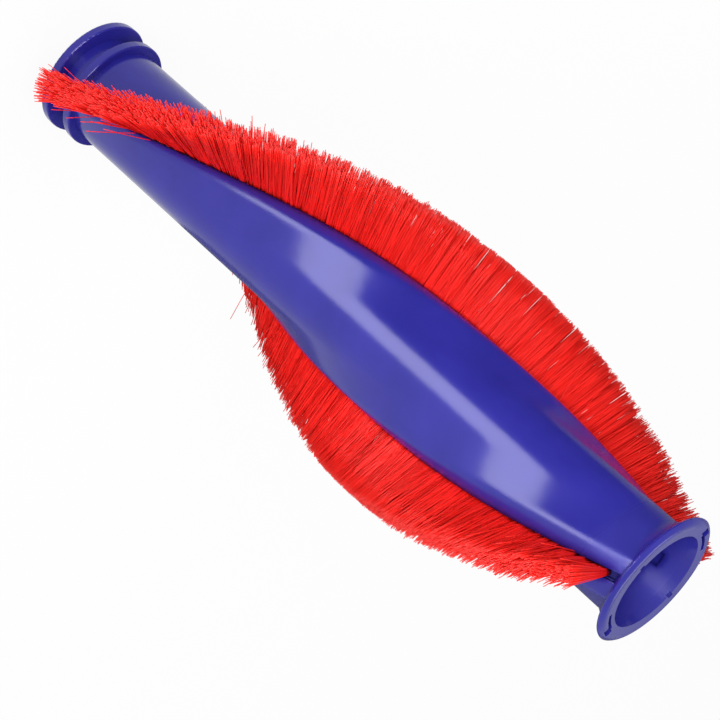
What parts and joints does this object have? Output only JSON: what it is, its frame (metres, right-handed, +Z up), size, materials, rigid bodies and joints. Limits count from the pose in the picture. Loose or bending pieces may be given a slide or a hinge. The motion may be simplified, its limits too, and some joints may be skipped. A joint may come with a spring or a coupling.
{
  "type": "vacuum brush roll",
  "caption": "Moulded vacuum brush roll: flanged plastic tube whose twisted lands carry helical rows of stiff bristle tufts, with a funnel-mouthed drive socket and a bearing seat at its ends.",
  "frame": {"origin": "on the roll's axis, at the outer face of the double-flanged bearing end that it stands on", "axes": "+Z up along the roll's axis from the bearing end to the open funnel mouth; bristle row a crosses +X at mid-length"},
  "size_m": [0.06, 0.06, 0.1852],
  "materials": {
    "body_plastic": "glossy moulded blue-purple",
    "bristle_nylon": "satin red nylon filament",
    "strip_plastic": "dull dark backing strip"
  },
  "bodies": {
    "root": {"roller_body": "body_plastic", "bristle_row_a": "bristle_nylon", "bristle_row_b": "bristle_nylon", "backing_strip_a": "strip_plastic", "backing_strip_b": "strip_plastic"}
  },
  "joints": []
}
